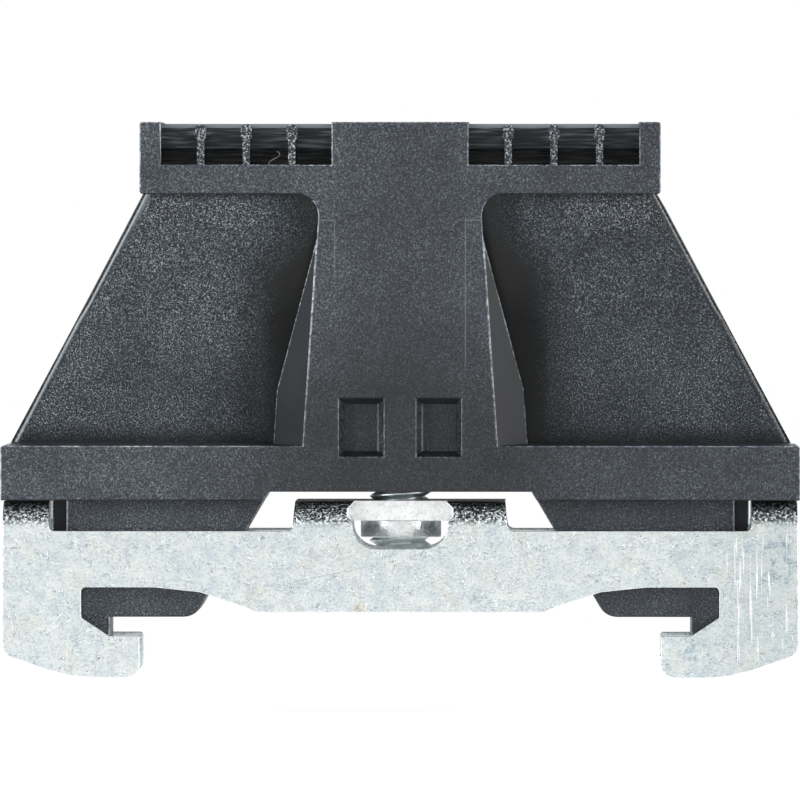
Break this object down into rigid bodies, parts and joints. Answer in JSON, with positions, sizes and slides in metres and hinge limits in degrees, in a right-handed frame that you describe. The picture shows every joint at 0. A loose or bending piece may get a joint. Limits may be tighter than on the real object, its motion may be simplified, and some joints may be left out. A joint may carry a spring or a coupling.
{
  "type": "din rail end stop",
  "caption": "Screw-clamped end stop for a 35 mm top-hat rail: moulded body with marker bays over a folded steel clamp foot that a slotted screw draws up.",
  "frame": {"origin": "middle of the part at the level of the hooks' undersides, on which it stands", "axes": "+X across the rail, +Y along the rail, +Z away from the rail towards the marker header"},
  "size_m": [0.0506, 0.0094, 0.0351],
  "materials": {
    "moulded_polyamide": "eroded grain, semi-matt",
    "zinc_plated_sheet": "bright zinc plating, mottled, with fine scratches",
    "zinc_plated_screw": "bright zinc plating"
  },
  "bodies": {
    "housing": {"body": "moulded_polyamide"},
    "foot": {"clamp_foot": "zinc_plated_sheet"},
    "screw": {"clamp_screw": "zinc_plated_screw"}
  },
  "joints": [
    {"name": "screw_turn", "type": "hinge", "parent": "housing", "child": "screw", "pos_m": [0, 0, 0.0256], "axis": [0, 0, 1], "range_deg": [0, 1440]},
    {"name": "foot_travel", "type": "slide", "parent": "housing", "child": "foot", "axis": [0, 0, -1], "range_m": [0, 0.0028]}
  ],
  "couplings": [
    {"joint": "screw_turn", "follows": "foot_travel", "rad_per_m": 8975.9}
  ]
}
